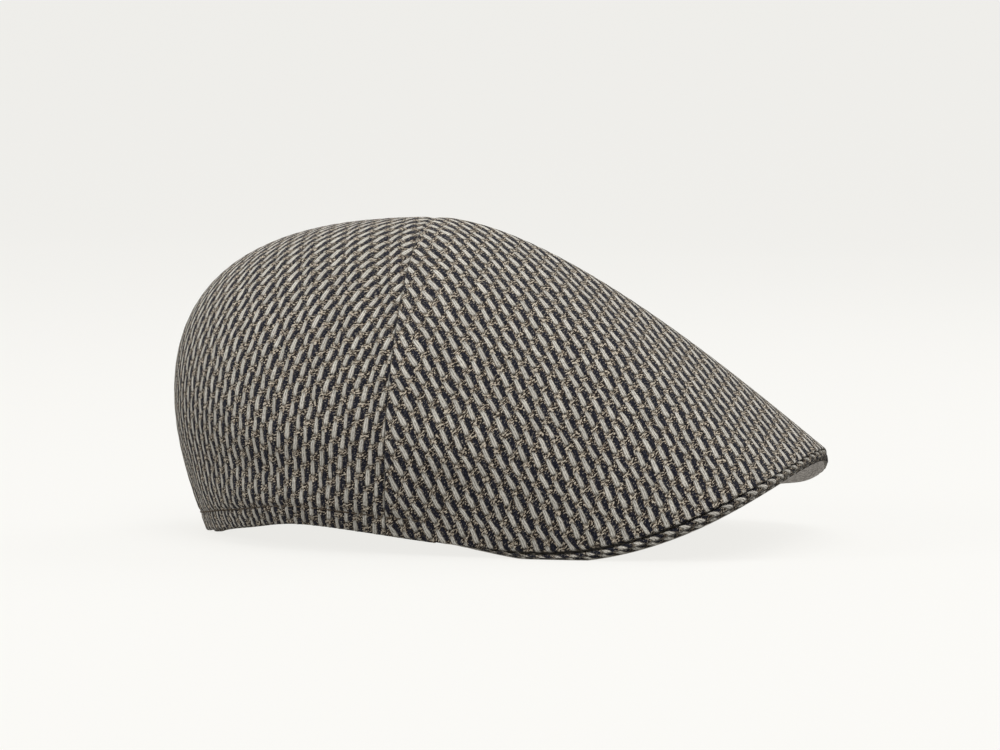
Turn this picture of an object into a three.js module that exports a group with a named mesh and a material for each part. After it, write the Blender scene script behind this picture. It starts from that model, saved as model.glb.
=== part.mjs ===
import * as THREE from 'three';

// A flat cap of woven tweed with an arched peak, standing on its lower edge.
// Sizes are in millimetres. +X is forward, +Y is the wearer's left, +Z is up.
// The crown is described round one upright axis, the apex axis, that passes through the top of the crown.

// Overall form
const crownHeight = 124; // from the surface it stands on to the top of the crown
const halfWidth = 86; // apex axis to the lower edge, where the side seams end
const frontReach = 158; // apex axis to the cloth edge at the tip of the peak
const backReach = 90; // apex axis to the lower edge at the centre back
const tipRise = 33; // height that the arch of the peak lifts the cloth edge at the tip

// Cloth and its seams
const clothWall = 2; // crown cloth with its backing
const seamGap = 0.3; // clearance between two sewn pieces
const seamSink = 1.1; // how far the cloth dips into a seam
const seamSpread = 3.2; // reach of that dip on each side of the seam

// Peak
const edgeHeight = 4.3; // height of the tweed roll round the edge of the peak, lower towards its ends
const edgeDepth = 4.2; // depth of that roll, measured in from the edge
const edgeRounding = 0.22; // share of its depth and of its height that its corners are rounded
const boardThickness = 3; // the cloth-covered board
const browReach = 114; // apex axis to the middle of the inner edge of the peak
const browCentre = 16; // centre of the inner edge's curve, ahead of the apex axis
const hornWidth = 7.5; // width of the peak at its two ends
const browRise = 13; // how much higher the middle of the inner edge lies than the tip
const browCurve = 1.6; // how late that rise comes: 1 is straight, more is flatter near the roll
const boardDrop = 0.6; // how much lower the top of the board lies than the top of the roll
const peakEndAngle = 82; // degrees round the apex axis from the tip to each end of the peak
const browEndAngle = 81; // the same on the inner edge's own curve

// Hem turned in along the lower edge of the crown
const hemHeight = 9;
const hemWall = 1.5;
const hemGap = 0.7; // clearance between the hem and the cloth outside it, which bulges a little
const hemEndGap = 1.5; // degrees left free between the hem and each end of the peak

// Lower edge and profile of the crown, one row every rowStep degrees from the tip to the centre back.
// x: share of frontReach, or of backReach behind the axis. y: share of halfWidth.
// lift: share of tipRise. roll: share of its full height that the peak's roll has under the cloth.
// lean: degrees that the wall leans outward going up, at the edge.
// top: share of the edge's own radius that the flat of the crown reaches.
// side: share of crownHeight over which the wall keeps the lean of its edge.
const rowStep = 15;
const crownRows = [
  { x: 1.003, y: 0, lift: 1.0, roll: 1, lean: -52, top: 0.31, side: 0.38 },
  { x: 0.968, y: 0.32, lift: 0.87, roll: 1, lean: -51, top: 0.29, side: 0.37 },
  { x: 0.93, y: 0.651, lift: 0.695, roll: 1, lean: -45, top: 0.28, side: 0.38 },
  { x: 0.778, y: 0.869, lift: 0.27, roll: 1, lean: -28, top: 0.3, side: 0.38 },
  { x: 0.554, y: 0.96, lift: -0.045, roll: 0.8, lean: -3, top: 0.39, side: 0.39 },
  { x: 0.339, y: 0.992, lift: 0, roll: 0.45, lean: 16, top: 0.49, side: 0.41 },
  { x: 0.051, y: 0.998, lift: 0.19, roll: 0.1, lean: 26, top: 0.56, side: 0.41 },
  { x: -0.311, y: 0.944, lift: 0.34, roll: 0, lean: 26, top: 0.68, side: 0.42 },
  { x: -0.578, y: 0.8, lift: 0.2, roll: 0, lean: 25, top: 0.84, side: 0.49 },
  { x: -0.778, y: 0.581, lift: 0.12, roll: 0, lean: 25, top: 0.96, side: 0.6 },
  { x: -0.924, y: 0.37, lift: 0, roll: 0, lean: 22, top: 1.03, side: 0.67 },
  { x: -0.983, y: 0.19, lift: 0, roll: 0, lean: 22, top: 1.06, side: 0.7 },
  { x: -1.006, y: 0, lift: 0, roll: 0, lean: 22, top: 1.06, side: 0.7 },
];

// Soft dents and swells of the cloth. angle and spread: degrees round the apex axis, minus on the right side.
// height and reach: shares of crownHeight. depth: share of crownHeight, minus for a swell.
const dents = [
  { angle: -112, spread: 22, height: 0.25, reach: 0.06, depth: 0.014 },
  { angle: -112, spread: 24, height: 0.14, reach: 0.06, depth: -0.006 },
  { angle: -149, spread: 6, height: 0.12, reach: 0.12, depth: 0.013 },
  { angle: -82, spread: 9, height: 0.15, reach: 0.1, depth: 0.016 },
  { angle: 82, spread: 9, height: 0.15, reach: 0.1, depth: 0.013 },
  { angle: 115, spread: 22, height: 0.27, reach: 0.07, depth: 0.01 },
  { angle: 155, spread: 9, height: 0.16, reach: 0.12, depth: 0.008 },
];

// Fineness of the meshes
const frontRows = 22;
const frontColumns = 38;
const rearRows = 17;
const rearColumns = 20;
const peakColumns = 52;
const boardRows = 7;
const hemColumns = 56;
const frontCorner = 66; // degrees from the tip to the two front corners of the front panel's grid
const rearCorner = 122; // degrees from the tip to the side corner of a rear panel's grid
const probe = 1e-3; // step for measuring the slope of the surface, in shares of the crown's radius
const probeAngle = 0.05; // step for measuring the run of the lower edge, in degrees
const rimTolerance = 1e-6; // a disc radius this close to 1 is on the lower edge
const seamRows = [0, 0.6, 1.6]; // first rows of a panel's grid beside a seam, in reaches of the seam's dip

const radians = Math.PI / 180;

// Rows of the table, smoothly blended round the crown
function crownRow(angle) {
  const last = crownRows.length - 1;
  const place = Math.min(Math.abs(angle) / rowStep, last);
  const below = Math.min(Math.floor(place), last - 1);
  const t = place - below;
  const weights = [(1 - t) ** 3, 3 * t ** 3 - 6 * t ** 2 + 4, -3 * t ** 3 + 3 * t ** 2 + 3 * t + 1, t ** 3];
  const row = { x: 0, y: 0, z: 0, roll: 0, lean: 0, top: 0, side: 0 };
  weights.forEach((weight, k) => {
    let index = below - 1 + k;
    let mirror = 1;
    if (index < 0) {
      index = -index;
      mirror = -1;
    } else if (index > last) {
      index = 2 * last - index;
      mirror = -1;
    }
    const entry = crownRows[index];
    const share = weight / 6;
    row.x += share * entry.x * (entry.x > 0 ? frontReach : backReach);
    row.y += share * entry.y * halfWidth * mirror;
    row.z += share * (entry.lift * tipRise + entry.roll * (edgeHeight + seamGap));
    row.roll += share * entry.roll;
    row.lean += share * entry.lean;
    row.top += share * entry.top;
    row.side += share * entry.side;
  });
  row.y *= Math.sign(angle) || 1;
  row.z = Math.max(row.z, 0);
  return row;
}

// The cross seam ends a little ahead of the apex axis: its run forward for each millimetre outward
const crossSeamSlant = crownRow(90).x / crownRow(90).y;

// A place on the crown is given on a flat disc: p forward, q to the left, 0 at the apex and 1 at the lower edge.
function smoothCrown(p, q) {
  const radius = Math.hypot(p, q);
  const row = crownRow(Math.atan2(q, p) / radians);
  const reach = Math.hypot(row.x, row.y);
  const lean = row.lean * radians;
  const sideLength = row.side * crownHeight;
  const radial = [0, row.top * reach, reach + sideLength * Math.sin(lean), reach];
  const heights = [crownHeight, crownHeight, row.z + sideLength * Math.cos(lean), row.z];
  const t = radius;
  const blend = [(1 - t) ** 3, 3 * t * (1 - t) ** 2, 3 * t ** 2 * (1 - t), t ** 3];
  const out = blend.reduce((sum, weight, k) => sum + weight * radial[k], 0);
  const height = blend.reduce((sum, weight, k) => sum + weight * heights[k], 0);
  return new THREE.Vector3((out * row.x) / reach, (out * row.y) / reach, height);
}

function outwardNormal(p, q) {
  const along = smoothCrown(p + probe, q).sub(smoothCrown(p - probe, q));
  const across = smoothCrown(p, q + probe).sub(smoothCrown(p, q - probe));
  return along.cross(across).normalize();
}

// Length of cloth for one unit of disc radius, near the lower edge
function clothPerRadius(angle) {
  return 3 * crownRow(angle).side * crownHeight;
}

function bell(distance, spread) {
  return Math.exp(-((distance / spread) ** 2));
}

// Depth of the cloth below the smooth crown: soft dents, and seams, which lie flat over the hem
function sunkBy(point, p, q) {
  const angle = Math.atan2(q, p) / radians;
  const aboveHem = (1 - Math.hypot(p, q)) * clothPerRadius(angle) - hemHeight;
  const fade = Math.min(Math.max(aboveHem / hemHeight, 0), 1);
  const fromCrossSeam = point.x - Math.abs(point.y) * crossSeamSlant;
  let seam = bell(fromCrossSeam, seamSpread);
  if (fromCrossSeam < 0) seam = Math.max(seam, bell(point.y, seamSpread));
  let depth = seamSink * seam * fade;
  dents.forEach((dent) => {
    const turn = ((angle - dent.angle + 540) % 360) - 180;
    const rise = point.z / crownHeight - dent.height;
    depth += dent.depth * crownHeight * bell(turn, dent.spread) * bell(rise, dent.reach);
  });
  return depth;
}

// Lower edge at an angle: its point, and the level direction inward, square to the edge
function edgeAt(angle) {
  const row = crownRow(angle);
  const ahead = crownRow(angle + probeAngle);
  const behind = crownRow(angle - probeAngle);
  const inward = new THREE.Vector3(behind.y - ahead.y, ahead.x - behind.x, 0).normalize();
  return { point: new THREE.Vector3(row.x, row.y, row.z), inward, roll: row.roll };
}

// Outer and inner face of the cloth at one place. The lower edge is cut level.
function clothAt(p, q) {
  const smooth = smoothCrown(p, q);
  const normal = outwardNormal(p, q);
  const depth = sunkBy(smooth, p, q);
  const outer = smooth.clone().addScaledVector(normal, -depth);
  if (Math.hypot(p, q) < 1 - rimTolerance) {
    return { outer, inner: outer.clone().addScaledVector(normal, -clothWall) };
  }
  const { inward } = edgeAt(Math.atan2(q, p) / radians);
  const slant = -normal.dot(inward);
  outer.copy(smooth).addScaledVector(inward, depth / slant);
  return { outer, inner: outer.clone().addScaledVector(inward, clothWall / slant) };
}

function onDisc(angle) {
  return new THREE.Vector2(Math.cos(angle * radians), Math.sin(angle * radians));
}

// Point of a four-sided patch from its four boundary curves
function patchPoint(u, v, start, end, low, high) {
  const point = start(v).multiplyScalar(1 - u).addScaledVector(end(v), u);
  point.addScaledVector(low(u), 1 - v).addScaledVector(high(u), v);
  point.addScaledVector(start(0), -(1 - u) * (1 - v)).addScaledVector(start(1), -(1 - u) * v);
  point.addScaledVector(end(0), -u * (1 - v)).addScaledVector(end(1), -u * v);
  return point;
}

// Shares 0 to 1 with narrow steps at the start, so that the dip at a seam has its shape
function seamSteps(count, length) {
  const steps = seamRows.map((row) => (row * seamSpread) / length);
  const lastNarrow = steps[steps.length - 1];
  const rest = count - steps.length + 1;
  for (let i = 1; i <= rest; i += 1) steps.push(lastNarrow + ((1 - lastNarrow) * i) / rest);
  return steps;
}

function evenSteps(count) {
  return Array.from({ length: count + 1 }, (_, i) => i / count);
}

// Closed body between an outer and an inner grid of points. The quads are split along their short diagonal.
function shellGeometry(outer, inner) {
  const rows = outer.length;
  const columns = outer[0].length;
  const points = [...outer.flat(), ...inner.flat()];
  const innerStart = rows * columns;
  const faces = [];
  const at = (i, j) => i * columns + j;
  const quad = (a, b, c, d) => faces.push([a, b, c], [a, c, d]);
  for (let i = 0; i < rows - 1; i += 1) {
    for (let j = 0; j < columns - 1; j += 1) {
      const corners = [at(i, j), at(i + 1, j), at(i + 1, j + 1), at(i, j + 1)];
      const first = points[corners[0]].distanceTo(points[corners[2]]);
      const second = points[corners[1]].distanceTo(points[corners[3]]);
      if (second < first) corners.push(corners.shift());
      quad(...corners);
      quad(...corners.reverse().map((index) => index + innerStart));
    }
  }
  const rim = [];
  for (let j = 0; j < columns - 1; j += 1) rim.push(at(0, j));
  for (let i = 0; i < rows - 1; i += 1) rim.push(at(i, columns - 1));
  for (let j = columns - 1; j > 0; j -= 1) rim.push(at(rows - 1, j));
  for (let i = rows - 1; i > 0; i -= 1) rim.push(at(i, 0));
  rim.forEach((from, k) => {
    const to = rim[(k + 1) % rim.length];
    quad(from, to, to + innerStart, from + innerStart);
  });
  const geometry = new THREE.BufferGeometry();
  geometry.setAttribute('position', new THREE.Float32BufferAttribute(points.flatMap((v) => v.toArray()), 3));
  geometry.setIndex(faces.flat());
  return geometry;
}

// Turns every face over where a body's faces point inward
function facedOut(geometry) {
  const position = geometry.getAttribute('position');
  const index = geometry.getIndex();
  const corner = (k) => new THREE.Vector3().fromBufferAttribute(position, index.getX(k));
  let volume = 0;
  for (let k = 0; k < index.count; k += 3) volume += corner(k).dot(corner(k + 1).cross(corner(k + 2)));
  if (volume < 0) geometry.setIndex(Array.from(index.array).reverse());
  geometry.computeVertexNormals();
  return geometry;
}

// A cloth panel from a function that turns grid shares into a disc place, with its seams pulled apart
function panelGeometry(rowShares, columnShares, discPlace, pullApart) {
  const outer = [];
  const inner = [];
  rowShares.forEach((u) => {
    const cells = columnShares.map((v) => {
      const place = discPlace(u, v);
      const cell = clothAt(place.x, place.y);
      pullApart(cell.outer, u, v);
      pullApart(cell.inner, u, v);
      return cell;
    });
    outer.push(cells.map((cell) => cell.outer));
    inner.push(cells.map((cell) => cell.inner));
  });
  return facedOut(shellGeometry(outer, inner));
}

function frontPanel() {
  const seam = (v) => new THREE.Vector2(0, 2 * v - 1);
  const edge = (v) => onDisc((2 * v - 1) * frontCorner);
  const sideArc = (side) => (u) => onDisc(side * (90 - (90 - frontCorner) * u));
  const place = (u, v) => {
    const point = patchPoint(u, v, seam, edge, sideArc(-1), sideArc(1));
    if (u === 1 || v === 0 || v === 1) point.normalize();
    return point;
  };
  const pullApart = (point, u) => {
    if (u === 0) point.x += seamGap / 2;
  };
  return panelGeometry(seamSteps(frontRows, frontReach), evenSteps(frontColumns), place, pullApart);
}

// side is 1 on the wearer's left and -1 on the right
function rearPanel(side) {
  const seam = (v) => new THREE.Vector2(0, side * v);
  const edge = (v) => onDisc(side * (180 - (180 - rearCorner) * v));
  const backSeam = (u) => new THREE.Vector2(-u, 0);
  const sideArc = (u) => onDisc(side * (90 + (rearCorner - 90) * u));
  const place = (u, v) => {
    const point = patchPoint(u, v, seam, edge, backSeam, sideArc);
    if (u === 1 || v === 1) point.normalize();
    return point;
  };
  const pullApart = (point, u, v) => {
    if (u === 0) point.x -= seamGap / 2;
    if (v === 0) point.y += (side * seamGap) / 2;
  };
  const rowShares = seamSteps(rearRows, backReach);
  const columnShares = seamSteps(rearColumns, halfWidth);
  return panelGeometry(rowShares, columnShares, place, pullApart);
}

function peakAngles(count) {
  return evenSteps(count).map((share) => (2 * share - 1) * peakEndAngle);
}

// The tweed roll: a rounded bar along the edge of the peak, as rows of insets with their drop from the top
function peakEdge() {
  const topRows = [
    { inset: 1, drop: 0 },
    { inset: 0.5, drop: 0 },
    { inset: edgeRounding, drop: 0 },
    { inset: 0, drop: edgeRounding },
  ];
  const bottomRows = topRows.map((row) => ({ inset: row.inset, drop: 1 - row.drop }));
  const grid = (rows) => rows.map((row) =>
    peakAngles(peakColumns).map((angle) => {
      const { point, inward, roll } = edgeAt(angle);
      point.addScaledVector(inward, row.inset * edgeDepth);
      point.z = Math.max(point.z - seamGap - row.drop * roll * edgeHeight, 0);
      return point;
    }));
  return facedOut(shellGeometry(grid(topRows), grid(bottomRows)));
}

// The board: from just inside the roll to the inner edge, which curves round the brow
function peakUnderside() {
  const grid = (drop) => evenSteps(boardRows).map((share) =>
    peakAngles(peakColumns).map((angle) => {
      const { point, inward, roll } = edgeAt(angle);
      point.addScaledVector(inward, edgeDepth + seamGap);
      point.z -= seamGap + roll * drop;
      const browAngle = (angle / peakEndAngle) * browEndAngle * radians;
      const brow = new THREE.Vector3(
        browCentre + (browReach - browCentre) * Math.cos(browAngle),
        (halfWidth - hornWidth) * Math.sin(browAngle),
        point.z,
      );
      point.lerp(brow, share);
      point.z += browRise * Math.cos(browAngle) ** 2 * share ** browCurve;
      point.z = Math.max(point.z, seamGap);
      return point;
    }));
  return facedOut(shellGeometry(grid(boardDrop), grid(boardDrop + boardThickness)));
}

// The hem follows the inner face of the crown, just above its lower edge
function turnedHem() {
  const hemStart = peakEndAngle + hemEndGap;
  const angles = evenSteps(hemColumns).map((share) => hemStart + (360 - 2 * hemStart) * share);
  const heightShares = [0, 0.5, 1];
  const gridAt = (depth) => heightShares.map((share) =>
    angles.map((turn) => {
      const angle = turn > 180 ? turn - 360 : turn;
      const radius = 1 - (share * hemHeight) / clothPerRadius(angle);
      const place = onDisc(angle).multiplyScalar(radius);
      const cell = clothAt(place.x, place.y);
      return cell.outer.clone().lerp(cell.inner, depth / clothWall);
    }));
  const nearFace = clothWall + hemGap;
  return facedOut(shellGeometry(gridAt(nearFace), gridAt(nearFace + hemWall)));
}

const tweed = { color: 0x77736b, roughness: 0.95, metalness: 0 };
const greyCloth = { color: 0x6f6b66, roughness: 0.95, metalness: 0 };

const cap = new THREE.Group();
function addPiece(name, geometry, finish) {
  const mesh = new THREE.Mesh(geometry, new THREE.MeshStandardMaterial(finish));
  mesh.name = name;
  cap.add(mesh);
}

addPiece('front_panel', frontPanel(), tweed);
addPiece('rear_panel_right', rearPanel(-1), tweed);
addPiece('rear_panel_left', rearPanel(1), tweed);
addPiece('peak_edge', peakEdge(), tweed);
addPiece('peak_underside', peakUnderside(), greyCloth);
addPiece('turned_hem', turnedHem(), tweed);

// The origin is the middle of the cap's bounding box, on the surface that it stands on.
const bounds = new THREE.Box3().setFromObject(cap);
cap.position.set(-(bounds.min.x + bounds.max.x) / 2, -(bounds.min.y + bounds.max.y) / 2, -bounds.min.z);

export default cap;
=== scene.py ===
import math

import bpy
import numpy as np
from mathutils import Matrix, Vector


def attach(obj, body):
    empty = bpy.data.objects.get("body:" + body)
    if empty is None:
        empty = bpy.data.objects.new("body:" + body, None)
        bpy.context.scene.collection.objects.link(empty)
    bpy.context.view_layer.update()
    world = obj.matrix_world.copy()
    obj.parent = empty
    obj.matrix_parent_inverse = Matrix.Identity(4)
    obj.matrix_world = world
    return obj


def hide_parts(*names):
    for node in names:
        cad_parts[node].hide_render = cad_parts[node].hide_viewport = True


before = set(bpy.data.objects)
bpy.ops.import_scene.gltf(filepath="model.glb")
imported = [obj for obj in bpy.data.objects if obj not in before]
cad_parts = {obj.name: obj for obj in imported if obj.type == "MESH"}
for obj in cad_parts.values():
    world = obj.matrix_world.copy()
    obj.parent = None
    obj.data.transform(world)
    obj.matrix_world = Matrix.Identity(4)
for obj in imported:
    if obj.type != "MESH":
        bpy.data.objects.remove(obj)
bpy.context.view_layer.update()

print("frame loaded:", len(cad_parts), "pieces")

# Sizes are in metres, and angles in degrees from the tip of the peak, positive towards the left side.
# The crown is described round an upright axis through its top, as its solids are.
crown = {
    "apex": (-0.026987, -0.000161),     # its axis in the frame of the solids
    "height": 0.124,
    "halfWidth": 0.086,
    "frontReach": 0.158,
    "backReach": 0.090,
    "tipRise": 0.033,
    "rowStep": 15,          # angle between two rows of the table
    "clothWall": 0.002,
    "seamGap": 0.0003,
    "seamSink": 0.0006,     # soft dip along a seam
    "seamSpread": 0.0032,
    "seamRound": 0.32,      # how far a seam edge bulges, in half cloth walls
    "seamReach": 0.004,     # width of cloth that the bulge draws along
    "foldRadius": 0.001,    # rounding of a folded cloth edge
    "foldSwell": 0.75,      # how far the folded edge of the front panel bulges
    "foldReach": 0.004,     # height over which its inner face draws level with the outer one
    "foldFade": 8,          # angle over which that ends, beside the peak
    "leftLift": 0.0065,     # the left half of the peak bends up a little more
    "leftLiftAt": 47,
    "leftLiftSpreads": (9, 22),     # towards the tip and towards the side
    "frontCorner": 66,      # corners of the panels' grids on the lower edge
    "rearCorner": 122,
    "frontGrid": (264, 288),
    "rearGrid": (180, 180),
    "innerStep": 3,         # the inner face has every third point
    "frontRibTurn": -54.5,
    "rearRibTurns": {"right": 216, "left": -36},
    "rearGather": 1.08,     # the rear cloth is eased in, so its weave is finer
}
peak = {
    "edgeHeight": 0.0043,
    "edgeDepth": 0.0042,
    "endAngle": 82,
}
hem = {
    "height": 0.009,
    "wall": 0.0015,
    "gap": 0.0007,
    "endGap": 1.5,
    "grid": (13, 481),
    "stitchLine": 0.008,    # height of the stitches above the edge
    "stitchSink": 0.0006,   # they draw the cloth in
    "stitchSpread": 0.0012,
    "stitchFade": 4,        # angle over which the groove begins
}

# A row every rowStep degrees from the tip to the centre back: x, y, lift, roll, lean, top, side.
# x and y are shares of reach and half width, and lift of the tip's rise. roll is 1 where the peak's roll is full.
# lean is the slope of the side in degrees. top and side say how far the curve runs on from the top and the edge.
crownRows = np.array([
    (1.003, 0, 1.0, 1, -52, 0.31, 0.38),
    (0.968, 0.32, 0.87, 1, -51, 0.29, 0.37),
    (0.93, 0.651, 0.695, 1, -45, 0.28, 0.38),
    (0.778, 0.869, 0.27, 1, -28, 0.3, 0.38),
    (0.554, 0.96, -0.045, 0.8, -3, 0.39, 0.39),
    (0.339, 0.992, 0, 0.45, 16, 0.49, 0.41),
    (0.051, 0.998, 0.19, 0.1, 26, 0.56, 0.41),
    (-0.311, 0.944, 0.34, 0, 26, 0.68, 0.42),
    (-0.578, 0.8, 0.2, 0, 25, 0.84, 0.49),
    (-0.778, 0.581, 0.12, 0, 25, 0.96, 0.6),
    (-0.924, 0.37, 0, 0, 22, 1.03, 0.67),
    (-0.983, 0.19, 0, 0, 22, 1.06, 0.7),
    (-1.006, 0, 0, 0, 22, 1.06, 0.7),
])

# angle, spread of the angle; height, reach and depth as shares of the crown's height
dents = [
    (-112, 22, 0.25, 0.06, 0.014),
    (-112, 24, 0.14, 0.06, -0.006),
    (-149, 6, 0.12, 0.12, 0.013),
    (-82, 9, 0.15, 0.1, 0.016),
    (82, 9, 0.15, 0.1, 0.013),
    (115, 22, 0.27, 0.07, 0.01),
    (155, 9, 0.16, 0.12, 0.008),
]

probe = 1e-3            # share of the disc over which a slope is measured
fine = 1


def bell(distance, spread):
    return np.exp(-(distance / spread) ** 2)


def unit(vectors):
    return vectors / np.maximum(np.linalg.norm(vectors, axis=-1, keepdims=True), 1e-12)


def edgeTable():
    table = np.zeros((len(crownRows), 7))
    x = crownRows[:, 0]
    table[:, 0] = x * np.where(x > 0, crown["frontReach"], crown["backReach"])
    table[:, 1] = crownRows[:, 1] * crown["halfWidth"]
    table[:, 2] = crownRows[:, 2] * crown["tipRise"]
    table[:, 2] += crownRows[:, 3] * (peak["edgeHeight"] + crown["seamGap"])
    table[:, 3:] = crownRows[:, 3:]
    return table


edgeRows = edgeTable()


def crownRow(angle):
    # columns x, y, z, roll, lean, top, side at each angle
    last = len(edgeRows) - 1
    place = np.minimum(np.abs(angle) / crown["rowStep"], last)
    below = np.minimum(np.floor(place), last - 1).astype(int)
    t = place - below
    weights = [(1 - t) ** 3, 3 * t ** 3 - 6 * t ** 2 + 4, -3 * t ** 3 + 3 * t ** 2 + 3 * t + 1, t ** 3]
    row = np.zeros(np.shape(angle) + (7,))
    for k, weight in enumerate(weights):
        index = below - 1 + k
        mirrored = (index < 0) | (index > last)
        index = np.where(index < 0, -index, np.where(index > last, 2 * last - index, index))
        entry = edgeRows[index].copy()
        entry[..., 1] *= np.where(mirrored, -1, 1)
        row += (weight / 6)[..., None] * entry
    row[..., 1] *= np.where(angle < 0, -1, 1)
    row[..., 2] = np.maximum(row[..., 2], 0)
    fromLift = angle - crown["leftLiftAt"]
    row[..., 2] += crown["leftLift"] * bell(fromLift, np.where(fromLift < 0, *crown["leftLiftSpreads"]))
    return row


sideRow = crownRow(np.array(90.0))
crossSeamSlant = sideRow[0] / sideRow[1]


def seamDistance(points):
    # ahead of the cross seam, below 0 behind it
    return points[..., 0] - np.abs(points[..., 1]) * crossSeamSlant


# The crown's surface, over a disc whose middle is the top and whose rim is the lower edge

def onDisc(angle):
    return np.stack([np.cos(np.radians(angle)), np.sin(np.radians(angle))], -1)


def smoothCrown(p, q):
    t = np.hypot(p, q)
    row = crownRow(np.degrees(np.arctan2(q, p)))
    reach = np.hypot(row[..., 0], row[..., 1])
    lean = np.radians(row[..., 4])
    sideLength = row[..., 6] * crown["height"]
    blend = [(1 - t) ** 3, 3 * t * (1 - t) ** 2, 3 * t ** 2 * (1 - t), t ** 3]
    out = blend[1] * row[..., 5] * reach + blend[2] * (reach + sideLength * np.sin(lean)) + blend[3] * reach
    height = (blend[0] + blend[1]) * crown["height"] + blend[2] * (row[..., 2] + sideLength * np.cos(lean))
    height = height + blend[3] * row[..., 2]
    return np.stack([out * row[..., 0] / reach, out * row[..., 1] / reach, height], -1)


def outwardNormal(p, q):
    along = smoothCrown(p + probe, q) - smoothCrown(p - probe, q)
    across = smoothCrown(p, q + probe) - smoothCrown(p, q - probe)
    return unit(np.cross(along, across))


def clothPerRadius(angle):
    return 3 * crownRow(angle)[..., 6] * crown["height"]


def sunkBy(point, p, q):
    # seams, stitches and dents
    angle = np.degrees(np.arctan2(q, p))
    aboveEdge = (1 - np.hypot(p, q)) * clothPerRadius(angle)
    aboveHem = np.clip(aboveEdge / hem["height"] - 1, 0, 1)
    fromCrossSeam = seamDistance(point)
    seam = bell(fromCrossSeam, crown["seamSpread"])
    seam = np.where(fromCrossSeam < 0, np.maximum(seam, bell(point[..., 1], crown["seamSpread"])), seam)
    depth = crown["seamSink"] * seam * aboveHem
    atRear = np.clip((np.abs(angle) - peak["endAngle"]) / hem["stitchFade"], 0, 1)
    depth = depth + hem["stitchSink"] * bell(aboveEdge - hem["stitchLine"], hem["stitchSpread"]) * atRear
    for place, spread, height, reach, deep in dents:
        turn = (angle - place + 540) % 360 - 180
        rise = point[..., 2] / crown["height"] - height
        depth = depth + deep * crown["height"] * bell(turn, spread) * bell(rise, reach)
    return depth


def surfaceAt(disc):
    # smooth surface, its normal, and how far the cloth lies below it
    p, q = disc[..., 0], disc[..., 1]
    smooth = smoothCrown(p, q)
    return smooth, outwardNormal(p, q), sunkBy(smooth, p, q)[..., None]


def edgeAt(angle):
    # the lower edge and the level direction in from it
    row = crownRow(angle)
    step = 0.05
    run = crownRow(angle + step)[..., :2] - crownRow(angle - step)[..., :2]
    inward = unit(np.stack([-run[..., 1], run[..., 0], np.zeros(run.shape[:-1])], -1))
    return row, inward


def roundTheBack(start, part):
    # angles from the left end of the peak round the back to its right end
    angle = start + (360 - 2 * start) * part
    return np.where(angle > 180, angle - 360, angle)


def patch(u, v, start, end, low, high):
    # four-sided patch on the disc from its four boundary curves
    u, v = u[..., None], v[..., None]
    point = start(v[..., 0]) * (1 - u) + end(v[..., 0]) * u + low(u[..., 0]) * (1 - v) + high(u[..., 0]) * v
    zero, one = np.zeros(u.shape[:-1]), np.ones(u.shape[:-1])
    point -= start(zero) * (1 - u) * (1 - v) + start(one) * (1 - u) * v
    point -= end(zero) * u * (1 - v) + end(one) * u * v
    return point


# Mesh helpers

def shift(points):
    # from the apex axis to the frame of the solids
    return points + np.array([crown["apex"][0], crown["apex"][1], 0])


def along(points):
    # length run along a row of points
    steps = np.linalg.norm(np.diff(points, axis=0), axis=-1)
    return np.concatenate([[0], np.cumsum(steps)])


def stripCloth(across, lengthwise):
    # cloth coordinates of a strip, with its length as the first
    return np.stack(np.meshgrid(across, lengthwise, indexing="ij")[::-1], -1)


def turned(cloth, angle):
    c, s = math.cos(angle), math.sin(angle)
    return np.stack([cloth[..., 0] * c - cloth[..., 1] * s, cloth[..., 0] * s + cloth[..., 1] * c], -1)


def deselectAll():
    for thing in list(bpy.context.selected_objects):
        thing.select_set(False)


def editAll(piece):
    # edit mode with this piece alone, all selected
    deselectAll()
    piece.select_set(True)
    bpy.context.view_layer.objects.active = piece
    bpy.ops.object.mode_set(mode="EDIT")
    bpy.ops.mesh.select_all(action="SELECT")


def faceOutward(piece):
    editAll(piece)
    bpy.ops.mesh.normals_make_consistent(inside=False)
    bpy.ops.object.mode_set(mode="OBJECT")
    deselectAll()


def gridFaces(rows, columns, start=0):
    i, j = np.meshgrid(np.arange(rows - 1), np.arange(columns - 1), indexing="ij")
    a = start + (i * columns + j).ravel()
    return np.stack([a, a + columns, a + columns + 1, a + 1], -1)


def rimLoop(rows, columns):
    # indices of a grid's boundary, once round
    top = list(range(columns - 1))
    right = [i * columns + columns - 1 for i in range(rows - 1)]
    bottom = [(rows - 1) * columns + j for j in range(columns - 1, 0, -1)]
    left = [i * columns for i in range(rows - 1, 0, -1)]
    return np.array(top + right + bottom + left)


def flatRows(grid):
    return grid.reshape(grid.shape[0] * grid.shape[1], -1)


def makeMesh(name, points, faces, cloth, material):
    mesh = bpy.data.meshes.new(name)
    mesh.from_pydata(points.tolist(), [], faces)
    mesh.update()
    layer = mesh.uv_layers.new(name="cloth")
    corners = np.zeros(len(mesh.loops), np.int32)
    mesh.loops.foreach_get("vertex_index", corners)
    layer.data.foreach_set("uv", cloth[corners].astype(np.float32).ravel())
    mesh.polygons.foreach_set("use_smooth", np.ones(len(mesh.polygons), bool))
    piece = bpy.data.objects.new(name, mesh)
    bpy.context.collection.objects.link(piece)
    mesh.materials.append(material)
    faceOutward(piece)
    return piece


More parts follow.
